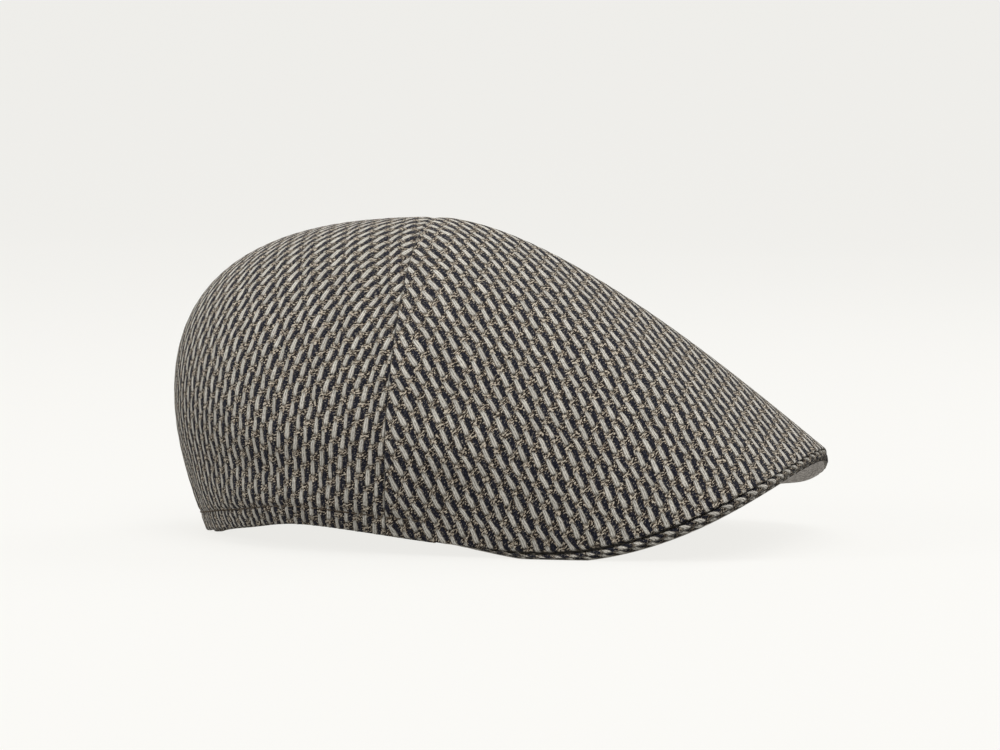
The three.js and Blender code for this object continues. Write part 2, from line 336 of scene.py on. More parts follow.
def clothShell(name, outer, inner, outside, cloth, relief, step, material):
    # closed cloth: a fine outer grid, a rounded rim, and an inner grid of every step-th point
    rows, columns = outer.shape[:2]
    normal = unit(np.cross(unit(np.gradient(outer, axis=0)), unit(np.gradient(outer, axis=1))))
    normal *= np.sign(np.sum(normal * (outer - inner)))
    raised = flatRows(outer + normal * relief[..., None])
    loop = rimLoop(rows, columns)
    rimOuter, rimInner, rimOutside = raised[loop], flatRows(inner)[loop], flatRows(outside)[loop]
    # cloth coordinates carry on round the rim
    rimCloth = flatRows(cloth)[loop]
    clothOut = unit(rimCloth - flatRows(cloth).mean(0))
    half = np.linalg.norm(rimOuter - rimInner, axis=-1, keepdims=True) / 2
    rings, ringCloth = [], []
    for turn in np.radians((30, 60, 90, 120, 150)):
        rings.append(rimOuter + (rimInner - rimOuter) * (1 - math.cos(turn)) / 2 + rimOutside * half * math.sin(turn))
        ringCloth.append(rimCloth + clothOut * half * turn)
    innerGrid, innerCloth = inner[::step, ::step], cloth[::step, ::step]
    innerRows, innerColumns = innerGrid.shape[:2]
    points = np.concatenate([raised] + rings + [flatRows(innerGrid)])
    points[:, 2] = np.maximum(points[:, 2], 0)
    uvs = np.concatenate([flatRows(cloth)] + ringCloth + [flatRows(innerCloth)])
    faces = gridFaces(rows, columns).tolist()
    length = len(loop)
    ringStart = rows * columns
    loops = [loop] + [ringStart + k * length + np.arange(length) for k in range(len(rings))]
    for first, second in zip(loops, loops[1:]):
        faces += np.stack([first, second, np.roll(second, -1), np.roll(first, -1)], -1)[:, ::-1].tolist()
    innerStart = ringStart + len(rings) * length
    innerLoop = innerStart + rimLoop(innerRows, innerColumns)
    lastRing = loops[-1]
    for k, here in enumerate(innerLoop):
        ahead = innerLoop[(k + 1) % len(innerLoop)]
        ring = [int(lastRing[(k * step + j) % length]) for j in range(step + 1)]
        for j in range(step):
            faces.append([ring[j], ring[j + 1], int(here)])
        faces.append([int(ahead), int(here), ring[step]])
    faces += gridFaces(innerRows, innerColumns, innerStart)[:, ::-1].tolist()
    return makeMesh(name, shift(points), faces, uvs, material)


def enrol(piece, node=None):
    if node:
        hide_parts(node)
    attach(piece, "root")
    print(piece.name, "made,", len(piece.data.polygons), "faces")


# Laying a panel flat, so that its weave runs as on cut cloth

def resampleMatrix(count, wanted):
    # weights of a smooth cubic through count points, for the wanted number of places
    place = np.linspace(0, count - 1, wanted)
    below = np.minimum(place.astype(int), count - 2)
    t = place - below
    weights = np.zeros((wanted, count))
    shares = [(-t + 2 * t ** 2 - t ** 3) / 2, (2 - 5 * t ** 2 + 3 * t ** 3) / 2,
              (t + 4 * t ** 2 - 3 * t ** 3) / 2, (-t ** 2 + t ** 3) / 2]
    for k, share in enumerate(shares):
        index = below - 1 + k
        # past an end the grid goes on straight
        for row, (at, w) in enumerate(zip(index, share)):
            if at < 0:
                weights[row, 0] += 2 * w
                weights[row, 1] -= w
            elif at > count - 1:
                weights[row, count - 1] += 2 * w
                weights[row, count - 2] -= w
            else:
                weights[row, at] += w
    return weights


def resample(coarse, rows, columns):
    left, right = resampleMatrix(coarse.shape[0], rows), resampleMatrix(coarse.shape[1], columns)
    return np.einsum("ri,ijk,cj->rck", left, coarse, right)


def unwrapGrid(grid):
    # flat places of a grid's points, from a mesh that is made for this alone
    rows, columns = grid.shape[:2]
    mesh = bpy.data.meshes.new("pattern")
    mesh.from_pydata(flatRows(grid).tolist(), [], gridFaces(rows, columns).tolist())
    mesh.uv_layers.new(name="flat")
    pattern = bpy.data.objects.new("pattern", mesh)
    bpy.context.collection.objects.link(pattern)
    editAll(pattern)
    bpy.ops.uv.unwrap(method="MINIMUM_STRETCH", iterations=60, margin=0.0)
    bpy.ops.object.mode_set(mode="OBJECT")
    corners = np.zeros(len(mesh.loops), np.int32)
    mesh.loops.foreach_get("vertex_index", corners)
    uvs = np.zeros(len(mesh.loops) * 2)
    mesh.uv_layers["flat"].data.foreach_get("uv", uvs)
    flat = np.zeros((rows * columns, 2))
    flat[corners] = uvs.reshape(-1, 2)
    bpy.data.objects.remove(pattern)
    bpy.data.meshes.remove(mesh)
    return flat.reshape(rows, columns, 2)


def flattenCloth(points, ribTurn, hand):
    # the panel as it was cut: two coordinates in metres for each point of its grid
    rows, columns = points.shape[:2]
    count = 56              # rows and columns that are laid flat
    i = np.linspace(0, rows - 1, count).round().astype(int)
    j = np.linspace(0, columns - 1, count).round().astype(int)
    coarse = points[np.ix_(i, j)]
    flat = unwrapGrid(coarse)
    lengths = np.linalg.norm(np.diff(coarse, axis=0), axis=-1).sum()
    flat *= lengths / np.linalg.norm(np.diff(flat, axis=0), axis=-1).sum()
    middle, reach = count // 2, 4       # the ribs' direction is set across the middle of the panel
    flat -= flat[middle, middle]
    run = flat[middle + reach, middle] - flat[middle - reach, middle]
    side = flat[middle, middle + reach] - flat[middle, middle - reach]
    if (run[0] * side[1] - run[1] * side[0]) * hand < 0:
        flat[..., 0] *= -1
        run[0] *= -1
    return resample(turned(flat, math.radians(ribTurn) - math.atan2(run[1], run[0])), rows, columns)


# Weave: ribs of cream and navy floats on a twisted ground
weave = {
    "pitch": 0.0041,        # from one rib to the next
    "repeat": 0.0086,       # length of the pattern along a rib
    "relief": 0.00012,      # height of the floats above the ground
    "reliefLevel": 0.4,     # share of it below the cloth's own surface
    "bump": 0.0006,
    "wobble": 0.00006,      # how far a yarn strays
    "wobbleScale": 520.0,
    "powers": (4.0, 2.6),   # squareness of a float's outline across and along
    "fray": 2.6,            # how far loose fibres break an outline
    "fibreScale": (3600.0, 900.0, 1.0),
    "twistSize": (0.00115, 0.0005, 1.0),    # length and width of a strand of the ground
    "twistTurn": 0.44,      # radians
    "creamStrands": 33.0,   # radians of the strands' ripple in one pitch
    "navyStrands": 40.0,
    # centre of a float as shares of pitch and repeat; wide and long: half sizes; slant: run across
    "cream": {"across": 0.30, "along": 0.50, "wide": 0.225, "long": 0.37, "slant": 0.17, "taper": 0.2,
              "high": 1.0},
    "navy": {"across": 0.77, "along": 0.56, "wide": 0.25, "long": 0.33, "slant": 0.10, "taper": 0.0,
             "high": 0.4},
}
yarns = {
    "cream": (0.66, 0.63, 0.565),
    # dark end of the cream floats: painted shade between their strands, and darker fibres
    "creamPaintedShadeAndDarkFibre": (0.15, 0.135, 0.11),
    "navy": (0.005, 0.0055, 0.011),
    # light end of the navy floats: painted highlight along their strands, and paler fibres
    "navyHighlightAndPaleFibre": (0.045, 0.046, 0.065),
    "black": (0.010, 0.009, 0.009),
    "brown": (0.075, 0.053, 0.038),
    "tan": (0.24, 0.178, 0.12),
    "stone": (0.56, 0.50, 0.405),
}
greyThreads = {"scale": (350.0, 2400.0, 1.0), "dark": (0.36, 0.335, 0.31), "light": (0.76, 0.71, 0.655)}
sewingThread = {"turn": 0.6, "scale": 700.0, "dark": (0.03, 0.025, 0.02), "light": (0.16, 0.125, 0.09)}


def weaveHeight(cloth):
    # share of the relief at each place of the cloth, the same pattern as the material's
    x = cloth[..., 0] / weave["pitch"]
    column = np.floor(x)
    a = x - column
    b = cloth[..., 1] / weave["repeat"] + 0.5 * (column % 2)
    b = b - np.floor(b)
    height = np.zeros(a.shape)
    for yarn in (weave["cream"], weave["navy"]):
        ahead = (b - yarn["along"]) / yarn["long"]
        across = (a - yarn["across"] + yarn["slant"] * (b - yarn["along"])) / yarn["wide"]
        across = across / np.clip(1 - yarn["taper"] * ahead, 0.5, 1.5)
        outline = np.abs(across) ** weave["powers"][0] + np.abs(ahead) ** weave["powers"][1]
        inside = np.clip((1.4 - outline) / 0.9, 0, 1)
        height = height + yarn["high"] * inside * np.clip(1.1 - 0.6 * across ** 2 - 0.35 * ahead ** 2, 0, 1)
    return height


def addNode(tree, kind, inputs=(), **settings):
    node = tree.nodes.new(kind)
    for name, value in settings.items():
        setattr(node, name, value)
    for key, value in dict(inputs).items():
        if isinstance(value, bpy.types.NodeSocket):
            tree.links.new(value, node.inputs[key])
        else:
            node.inputs[key].default_value = value
    return node


def calc(tree, operation, a, b=0.0, c=0.0):
    return addNode(tree, "ShaderNodeMath", {0: a, 1: b, 2: c}, operation=operation).outputs[0]


def vectorCalc(tree, operation, inputs):
    return addNode(tree, "ShaderNodeVectorMath", inputs, operation=operation).outputs[0]


def smoothStep(tree, value, low, high, start=0.0, end=1.0):
    return addNode(tree, "ShaderNodeMapRange", {0: value, 1: low, 2: high, 3: start, 4: end},
                   interpolation_type="SMOOTHSTEP").outputs[0]


def mixColour(tree, share, first, second, blend="MIX"):
    return addNode(tree, "ShaderNodeMix", {0: share, 6: first, 7: second}, data_type="RGBA",
                   blend_type=blend).outputs[2]


def colourRamp(tree, value, stops):
    node = addNode(tree, "ShaderNodeValToRGB", {0: value})
    ramp = node.color_ramp
    while len(ramp.elements) < len(stops):
        ramp.elements.new(0.5)
    for element, (place, colour) in zip(ramp.elements, stops):
        element.position = place
        element.color = (*colour, 1)
    return node.outputs[0]


def fineNoise(tree, vector, scale=1.0, detail=2.0, roughness=0.5):
    return addNode(tree, "ShaderNodeTexNoise", {"Vector": vector, "Scale": scale, "Detail": detail,
                                                "Roughness": roughness}, noise_dimensions="2D")


def newGroup(name, inputs, outputs):
    tree = bpy.data.node_groups.new(name, "ShaderNodeTree")
    for label, kind in inputs:
        tree.interface.new_socket(name=label, in_out="INPUT", socket_type=kind)
    for label, kind in outputs:
        tree.interface.new_socket(name=label, in_out="OUTPUT", socket_type=kind)
    return tree, tree.nodes.new("NodeGroupInput"), tree.nodes.new("NodeGroupOutput")


def floatOutline(tree, a, b, yarn):
    # 1 on the outline of a float and less inside it; also the share and the place across it
    run = calc(tree, "SUBTRACT", b, yarn["along"])
    aside = calc(tree, "SUBTRACT", a, yarn["across"])
    side = calc(tree, "ADD", aside, calc(tree, "MULTIPLY", run, yarn["slant"]))
    ahead = calc(tree, "DIVIDE", run, yarn["long"])
    wide = calc(tree, "MULTIPLY_ADD", ahead, -yarn["taper"] * yarn["wide"], yarn["wide"])
    across = calc(tree, "ABSOLUTE", calc(tree, "DIVIDE", side, wide))
    ahead = calc(tree, "ABSOLUTE", ahead)
    acrossPower, aheadPower = weave["powers"]
    outline = calc(tree, "ADD", calc(tree, "POWER", across, acrossPower), calc(tree, "POWER", ahead, aheadPower))
    return outline, across, side


def ripple(tree, side, strands):
    # the strands of a float, side by side
    return calc(tree, "COSINE", calc(tree, "MULTIPLY", side, strands))


def dome(tree, mask, across):
    # height of a float, rounded across
    fall = calc(tree, "MULTIPLY", calc(tree, "POWER", across, 2.0), 0.6)
    return calc(tree, "MULTIPLY", mask, calc(tree, "SUBTRACT", 1.0, fall))


def tweedGroup():
    tree, start, end = newGroup(
        "tweedWeave",
        [("Cloth", "NodeSocketVector")],
        [("Color", "NodeSocketColor"), ("Height", "NodeSocketFloat"), ("Roughness", "NodeSocketFloat")],
    )
    cloth = start.outputs["Cloth"]
    # the yarns stray a little
    wobble = fineNoise(tree, cloth, weave["wobbleScale"]).outputs["Color"]
    offset = vectorCalc(tree, "SUBTRACT", {0: wobble, 1: (0.5, 0.5, 0.5)})
    place = vectorCalc(tree, "ADD", {0: cloth, 1: vectorCalc(tree, "SCALE", {0: offset, 3: weave["wobble"]})})
    split = addNode(tree, "ShaderNodeSeparateXYZ", {0: place})
    x = calc(tree, "DIVIDE", split.outputs[0], weave["pitch"])
    column = calc(tree, "FLOOR", x)
    a = calc(tree, "FRACT", x)
    stagger = calc(tree, "MULTIPLY", calc(tree, "FLOORED_MODULO", column, 2.0), 0.5)
    y = calc(tree, "ADD", calc(tree, "DIVIDE", split.outputs[1], weave["repeat"]), stagger)
    b = calc(tree, "FRACT", y)
    creamAt, creamAcross, creamSide = floatOutline(tree, a, b, weave["cream"])
    navyAt, navyAcross, navySide = floatOutline(tree, a, b, weave["navy"])
    # outlines broken by loose fibres
    fibreAlong = addNode(tree, "ShaderNodeMapping", {0: place, 3: weave["fibreScale"]})
    fibre = fineNoise(tree, fibreAlong.outputs[0], 1.0, 3.0, 0.6).outputs[0]
    frayed = calc(tree, "MULTIPLY", calc(tree, "SUBTRACT", fibre, 0.5), weave["fray"])
    cream = smoothStep(tree, calc(tree, "ADD", creamAt, frayed), 1.35, 0.65)
    navy = smoothStep(tree, calc(tree, "ADD", navyAt, frayed), 1.45, 0.55)
    # a number for each float
    cell = addNode(tree, "ShaderNodeCombineXYZ", {0: column, 1: calc(tree, "FLOOR", y)}).outputs[0]
    chance = addNode(tree, "ShaderNodeTexWhiteNoise", {"Vector": cell}, noise_dimensions="2D").outputs["Value"]
    # ground yarns, twisted of dark and light strands that cross the rib
    twist = addNode(tree, "ShaderNodeMapping", {0: place, 2: (0.0, 0.0, weave["twistTurn"]), 3: weave["twistSize"]},
                    vector_type="TEXTURE")
    flecks = fineNoise(tree, twist.outputs[0], 1.0, 1.5, 0.6).outputs[0]
    lightStripe = smoothStep(tree, calc(tree, "ABSOLUTE", creamSide), 0.32, 0.12)
    ground = calc(tree, "ADD", flecks, calc(tree, "MULTIPLY_ADD", lightStripe, 0.135, -0.055))
    groundColour = colourRamp(tree, ground, [
        (0.45, yarns["black"]), (0.49, yarns["brown"]), (0.535, yarns["tan"]), (0.59, yarns["stone"])])
    # cream floats, each with its own tone, with painted shade in the grooves between their strands and darker random
    # fibres
    strand = calc(tree, "MULTIPLY", ripple(tree, creamSide, weave["creamStrands"]), -1.0)
    strandTone = calc(tree, "MULTIPLY_ADD", strand, 0.34, 0.66)
    creamTone = calc(tree, "ADD", strandTone, calc(tree, "MULTIPLY_ADD", fibre, 2.6, -1.3))
    creamColour = mixColour(tree, creamTone, (*yarns["creamPaintedShadeAndDarkFibre"], 1), (*yarns["cream"], 1))
    floatTone = calc(tree, "MULTIPLY_ADD", chance, 0.22, 0.86)
    creamColour = mixColour(tree, 1.0, creamColour, floatTone, "MULTIPLY")
    # navy floats, with specks of the ground; lighter at random fibres and, as a painted highlight, along their
    # strands
    navyStrand = calc(tree, "MULTIPLY", ripple(tree, navySide, weave["navyStrands"]), 0.08)
    navyTone = smoothStep(tree, calc(tree, "ADD", fibre, navyStrand), 0.5, 0.75)
    navyColour = mixColour(tree, navyTone, (*yarns["navy"], 1), (*yarns["navyHighlightAndPaleFibre"], 1))
    specks = smoothStep(tree, flecks, 0.64, 0.72, 0.0, 0.5)
    navyColour = mixColour(tree, specks, navyColour, (*yarns["stone"], 1))
    colour = mixColour(tree, navy, groundColour, navyColour)
    colour = mixColour(tree, cream, colour, creamColour)
    # painted shade between the yarns: the colour is darkened in a band round the outline of each cream float
    fromRim = calc(tree, "ABSOLUTE", calc(tree, "SUBTRACT", creamAt, 1.25))
    colour = mixColour(tree, 1.0, colour, smoothStep(tree, fromRim, 0.0, 0.7, 0.4, 1.0), "MULTIPLY")
    height = calc(tree, "MULTIPLY_ADD", dome(tree, navy, navyAcross), 0.4, dome(tree, cream, creamAcross))
    height = calc(tree, "MULTIPLY_ADD", strand, calc(tree, "MULTIPLY", cream, 0.12), height)
    loose = calc(tree, "SUBTRACT", 1.0, calc(tree, "MULTIPLY", cream, 0.75))
    height = calc(tree, "MULTIPLY_ADD", flecks, loose, height)
    height = calc(tree, "MULTIPLY_ADD", fibre, 0.35, height)
    tree.links.new(colour, end.inputs["Color"])
    tree.links.new(height, end.inputs["Height"])
    tree.links.new(calc(tree, "MULTIPLY_ADD", fibre, 0.15, 0.8), end.inputs["Roughness"])
    return tree


def newMaterial(name, specular):
    material = bpy.data.materials.new(name)
    material.use_nodes = True
    tree = material.node_tree
    tree.nodes["Principled BSDF"].inputs["Specular IOR Level"].default_value = specular
    return material, tree, addNode(tree, "ShaderNodeUVMap", uv_map="cloth").outputs[0]


def finishCloth(tree, colour, rough, height, strength, distance):
    shader = tree.nodes["Principled BSDF"]
    bump = addNode(tree, "ShaderNodeBump", {"Strength": strength, "Distance": distance, "Height": height})
    tree.links.new(colour, shader.inputs["Base Color"])
    tree.links.new(rough, shader.inputs["Roughness"])
    tree.links.new(bump.outputs[0], shader.inputs["Normal"])


def tweedMaterial(weaveTree):
    material, tree, cloth = newMaterial("tweed", 0.1)
    shader = tree.nodes["Principled BSDF"]
    shader.inputs["Sheen Weight"].default_value = 0.06
    shader.inputs["Sheen Roughness"].default_value = 0.5
    made = addNode(tree, "ShaderNodeGroup", node_tree=weaveTree)
    tree.links.new(cloth, made.inputs["Cloth"])
    finishCloth(tree, made.outputs["Color"], made.outputs["Roughness"], made.outputs["Height"], 1.0, weave["bump"])
    return material


def greyMaterial():
    material, tree, cloth = newMaterial("greyCloth", 0.2)
    streaks = addNode(tree, "ShaderNodeMapping", {0: cloth, 3: greyThreads["scale"]})
    threads = fineNoise(tree, streaks.outputs[0], 1.0, 3.0).outputs[0]
    colour = colourRamp(tree, threads, [(0.38, greyThreads["dark"]), (0.62, greyThreads["light"])])
    finishCloth(tree, colour, calc(tree, "MULTIPLY_ADD", threads, 0.15, 0.8), threads, 0.6, 0.0002)
    return material


def threadMaterial():
    material, tree, cloth = newMaterial("thread", 0.15)
    twisted = addNode(tree, "ShaderNodeMapping", {0: cloth, 2: (0.0, 0.0, sewingThread["turn"])})
    plies = addNode(tree, "ShaderNodeTexWave", {"Vector": twisted.outputs[0], "Scale": sewingThread["scale"],
                                                "Distortion": 1.0})
    colour = colourRamp(tree, plies.outputs["Color"], [(0.1, sewingThread["dark"]), (0.9, sewingThread["light"])])
    ply = plies.outputs["Fac"]
    finishCloth(tree, colour, calc(tree, "MULTIPLY_ADD", ply, 0.1, 0.75), ply, 0.5, 0.0001)
    return material


tweed = tweedMaterial(tweedGroup())
greyCloth = greyMaterial()
thread = threadMaterial()
print("materials made")


# Three panels of the crown

def clothGrids(disc, seamShift):
    # outer and inner face of a panel and the direction out of its rim, for places on the disc
    angle = np.degrees(np.arctan2(disc[..., 1], disc[..., 0]))
    disc = disc * (1 - crown["foldRadius"] / clothPerRadius(angle))[..., None]
    p, q = disc[..., 0], disc[..., 1]
    smooth, normal, sunk = surfaceAt(disc)
    outer = smooth - normal * sunk
    inner = outer - normal * crown["clothWall"]
    # the folded edge over the peak is level across
    row, inward = edgeAt(angle)
    leastSlant = 0.3        # keeps the wall short where the cloth lies nearly flat
    slant = np.maximum(-np.sum(normal * inward, -1), leastSlant)[..., None]
    low = 1 - (1 - np.hypot(p, q)) * clothPerRadius(angle) / crown["foldReach"]
    overPeak = (peak["endAngle"] + crown["foldFade"] / 2 - np.abs(angle)) / crown["foldFade"]
    level = np.clip(low, 0, 1) * np.clip(overPeak, 0, 1)
    inner += (outer + inward * crown["clothWall"] / slant - inner) * level[..., None]
    down = unit(smoothCrown(p * (1 + probe), q * (1 + probe)) - smoothCrown(p * (1 - probe), q * (1 - probe)))
    move = seamShift(outer)
    return outer + move, inner + move, down


def addPanel(name, node, grid, disc, seamShift, seamOut, ribTurn, hand=1, gather=1.0):
    rows, columns = [count // fine + 1 for count in grid]
    u, v = np.meshgrid(np.linspace(0, 1, rows), np.linspace(0, 1, columns), indexing="ij")
    outer, inner, down = clothGrids(disc(u, v), seamShift)
    cloth = flattenCloth(outer, ribTurn, hand) * gather
    relief = (weaveHeight(cloth) - weave["reliefLevel"]) * weave["relief"]
    piece = clothShell(name, outer, inner, seamOut(down), cloth, relief, crown["innerStep"], tweed)
    enrol(piece, node)


seamBulge = crown["seamRound"] * crown["clothWall"] / 2


def frontDisc(u, v):
    corner = crown["frontCorner"]
    return patch(
        u, v,
        lambda s: np.stack([np.zeros_like(s), 2 * s - 1], -1),
        lambda s: onDisc((2 * s - 1) * corner),
        lambda s: onDisc(-(90 - (90 - corner) * s)),
        lambda s: onDisc(90 - (90 - corner) * s),
    )


def frontSeamShift(points):
    move = np.zeros(points.shape)
    move[..., 0] = seamBulge * bell(seamDistance(points), crown["seamReach"])
    return move


def frontSeamOut(down):
    out = down * crown["foldSwell"]
    out[0] = (-crown["seamRound"], 0, 0)
    return out


def rearDisc(side):
    corner = crown["rearCorner"]

    def disc(u, v):
        return patch(
            u, v,
            lambda s: np.stack([np.zeros_like(s), side * s], -1),
            lambda s: onDisc(side * (180 - (180 - corner) * s)),
            lambda s: np.stack([-s, np.zeros_like(s)], -1),
            lambda s: onDisc(side * (90 + (corner - 90) * s)),
        )
    return disc


def rearSeamShift(side):
    def seamShift(points):
        move = np.zeros(points.shape)
        move[..., 0] = -seamBulge * bell(seamDistance(points), crown["seamReach"])
        move[..., 1] = side * seamBulge * bell(points[..., 1], crown["seamReach"])
        return move
    return seamShift


def rearSeamOut(side):
    def seamOut(down):
        out = down.copy()
        out[:, 0] = (0, -side * crown["seamRound"], 0)
        out[0] = (crown["seamRound"], 0, 0)
        return out
    return seamOut


addPanel("front_cloth", "front_panel", crown["frontGrid"], frontDisc, frontSeamShift, frontSeamOut,
         crown["frontRibTurn"])
for side, word in ((-1, "right"), (1, "left")):
    addPanel("rear_cloth_" + word, "rear_panel_" + word, crown["rearGrid"], rearDisc(side), rearSeamShift(side),
             rearSeamOut(side), crown["rearRibTurns"][word], -side, crown["rearGather"])


def addStrip(name, node, outer, inner, outside, cloth, material):
    relief, innerStep = np.zeros(outer.shape[:2]), 2
    enrol(clothShell(name, outer, inner, outside, cloth, relief, innerStep, material), node)


# Tweed roll round the edge of the peak
roll = {
    "groove": 0.0001,       # between the front panel's folded edge and the roll
    "taper": 0.2,           # share of the peak's edge over which each end thins out
    "thinnest": 0.15,
    "tuckIn": 0.0004,       # the thin ends move into the front panel's fold
    "tuckUp": 0.0018,
    "squareness": 0.85,     # 1 gives an ellipse, less a fuller section
    "grid": (28, 441),      # points round it and along it
    "clothWidth": 0.0135,
    "clothTurn": -48,
    "relief": 0.0006,
    "lapped": (100, 275),   # the cloth of the underside covers this side, so it stays smooth
    "lappedSink": 0.0001,
}


def endTaper(turn):
    # 1 along the peak, falling towards its two ends
    fromEnd = np.clip((1 - np.abs(turn)) / roll["taper"], 0, 1)
    return np.maximum(np.sin(fromEnd * math.pi / 2), roll["thinnest"])


def rollRing(turn, degrees, swell=0.0):
    # point of the section at each turn along the peak, from -1 to 1
    row, inward = edgeAt(turn * peak["endAngle"])
    thin = endTaper(turn)
    height = (peak["edgeHeight"] * row[..., 3] - roll["groove"]) * thin / 2
    depth = peak["edgeDepth"] * thin / 2
    phi = np.radians(degrees)
    across, up = [np.sign(wave) * np.abs(wave) ** roll["squareness"] for wave in (np.cos(phi), np.sin(phi))]
    moveIn = depth + roll["tuckIn"] * (1 - thin) - (depth + swell) * across
    point = row[..., :3] + inward * moveIn[..., None]
    point[..., 2] += (height + swell) * up - height - crown["seamGap"] - roll["groove"]
    point[..., 2] += roll["tuckUp"] * (1 - thin)
    return point


# Board of the peak: its underside is the fine face, and its cloth laps over the inner side of the roll
board = {
    "thickness": 0.003,
    "drop": 0.0006,
    "browReach": 0.114,
    "browCentre": 0.016,
    "hornWidth": 0.0075,
    "browRise": 0.013,
    "browCurve": 1.6,
    "browEndAngle": 81,
    "rows": 25,
    "coverRows": 6,
    "coverGap": 0.00005,
    "coverWall": 0.0003,
    "coverTurns": (-78, -130),
    "rimRound": 0.3,
}


def peakBoard():
    turn = np.linspace(-1, 1, roll["grid"][1])
    degrees, coverTurn = np.meshgrid(np.linspace(*board["coverTurns"], board["coverRows"]), turn, indexing="ij")
    cover = [rollRing(coverTurn, degrees, board["coverGap"] + wall) for wall in (0, board["coverWall"])]
    share, turn = np.meshgrid(np.linspace(0, 1, board["rows"]), turn, indexing="ij")
    row, inward = edgeAt(turn * peak["endAngle"])
    edge = row[..., :3] + inward * (peak["edgeDepth"] + crown["seamGap"])
    thin = endTaper(turn)       # the ends run out in points, up in the fold
    share = share * thin
    brow = np.radians(turn * board["browEndAngle"])
    browX = board["browCentre"] + (board["browReach"] - board["browCentre"]) * np.cos(brow)
    browY = (crown["halfWidth"] - board["hornWidth"]) * np.sin(brow)

    def face(drop):
        z = edge[..., 2] - crown["seamGap"] - row[..., 3] * drop * thin + roll["tuckUp"] * (1 - thin)
        z = z + board["browRise"] * np.cos(brow) ** 2 * share ** board["browCurve"]
        x = edge[..., 0] * (1 - share) + browX * share
        y = edge[..., 1] * (1 - share) + browY * share
        return np.stack([x, y, z], -1)
    top = np.concatenate([cover[0], face(board["drop"])])
    under = np.concatenate([cover[1], face(board["drop"] + board["thickness"])])
    top[..., 2] = np.maximum(top[..., 2], board["coverWall"])
    return top, under


def outOfRim(grid):
    # direction away from a grid at its rim
    out = unit(np.gradient(grid, axis=0))
    out[:len(grid) // 2] *= -1
    sideways = unit(np.gradient(grid, axis=1))
    out[:, 0], out[:, -1] = -sideways[:, 0], sideways[:, -1]
    return out


top, under = peakBoard()
boardCloth = stripCloth(along(under[:, under.shape[1] // 2]), along(under[0]))
addStrip("peak_board", "peak_underside", under, top, outOfRim(under) * board["rimRound"], boardCloth,
         greyCloth)


def rollMesh():
    around, columns = roll["grid"]
    degrees, turn = np.meshgrid(np.arange(around) * 360 / around, np.linspace(-1, 1, columns), indexing="ij")
    points = rollRing(turn, degrees)
    cloth = stripCloth(np.arange(around) * roll["clothWidth"] / around, along(points[0]))
    cloth = turned(cloth, math.radians(roll["clothTurn"]))
    normal = unit(np.cross(np.roll(points, -1, 0) - np.roll(points, 1, 0), np.gradient(points, axis=1)))
    outwards = points - points.mean(0, keepdims=True)
    normal *= np.sign(np.sum(normal * outwards, -1, keepdims=True).mean())
    shown = (degrees < roll["lapped"][0]) | (degrees > roll["lapped"][1])
    relief = np.where(shown, (weaveHeight(cloth) - 0.5) * roll["relief"], -roll["lappedSink"])
    points = points + normal * relief[..., None]
    points[..., 2] = np.maximum(points[..., 2], board["coverWall"])
    faces = []
    a = np.arange(columns - 1)
    for k in range(around):
        here, beside = k * columns + a, (k + 1) % around * columns + a
        faces += np.stack([here, here + 1, beside + 1, beside], -1).tolist()
    for column in (0, columns - 1):
        faces.append([k * columns + column for k in range(around)])
    return flatRows(points), faces, flatRows(cloth)


points, faces, cloth = rollMesh()
enrol(makeMesh("peak_roll", shift(points), faces, cloth, tweed), "peak_edge")


# Hem turned in along the lower edge

def hemGrid(depth):
    rows, columns = hem["grid"]
    share, part = np.meshgrid(np.linspace(0, 1, rows), np.linspace(0, 1, columns), indexing="ij")
    angle = roundTheBack(peak["endAngle"] + hem["endGap"], part)
    radius = 1 - share * hem["height"] / clothPerRadius(angle)
    smooth, normal, sunk = surfaceAt(onDisc(angle) * radius[..., None])
    row, inward = edgeAt(angle)
    slant = -np.sum(normal * inward, -1, keepdims=True)
    level = smooth + inward * (sunk + depth) / slant
    straight = smooth - normal * (sunk + depth)
    return np.where(share[..., None] > 0, straight, level)


near = crown["clothWall"] + hem["gap"]
hemFar, hemNear = hemGrid(near + hem["wall"]), hemGrid(near)
hemCloth = stripCloth(np.linspace(0, hem["height"], hem["grid"][0]), along(hemFar[0]))
addStrip("inner_hem", "turned_hem", hemFar, hemNear, np.zeros(hemFar.shape), hemCloth, tweed)

# Row of stitches that holds the hem
stitch = {
    "length": 0.0026,
    "step": 0.0034,
    "first": 0.001,         # from the start of the row to the first stitch
    "endGap": 3,
    "lineSteps": 1200,      # points along the line that they are sewn on
    "threadRadius": 0.0003,
    "threadRound": 0.0014,  # cloth coordinate once round the thread
    "blunt": 0.12,          # how much of a half wave each end of a stitch lacks
    "rise": 1.9,            # in thread radii: its middle rises and its ends sink into the cloth
    "sunk": 0.7,
    "rings": 6,
    "sides": 6,
}


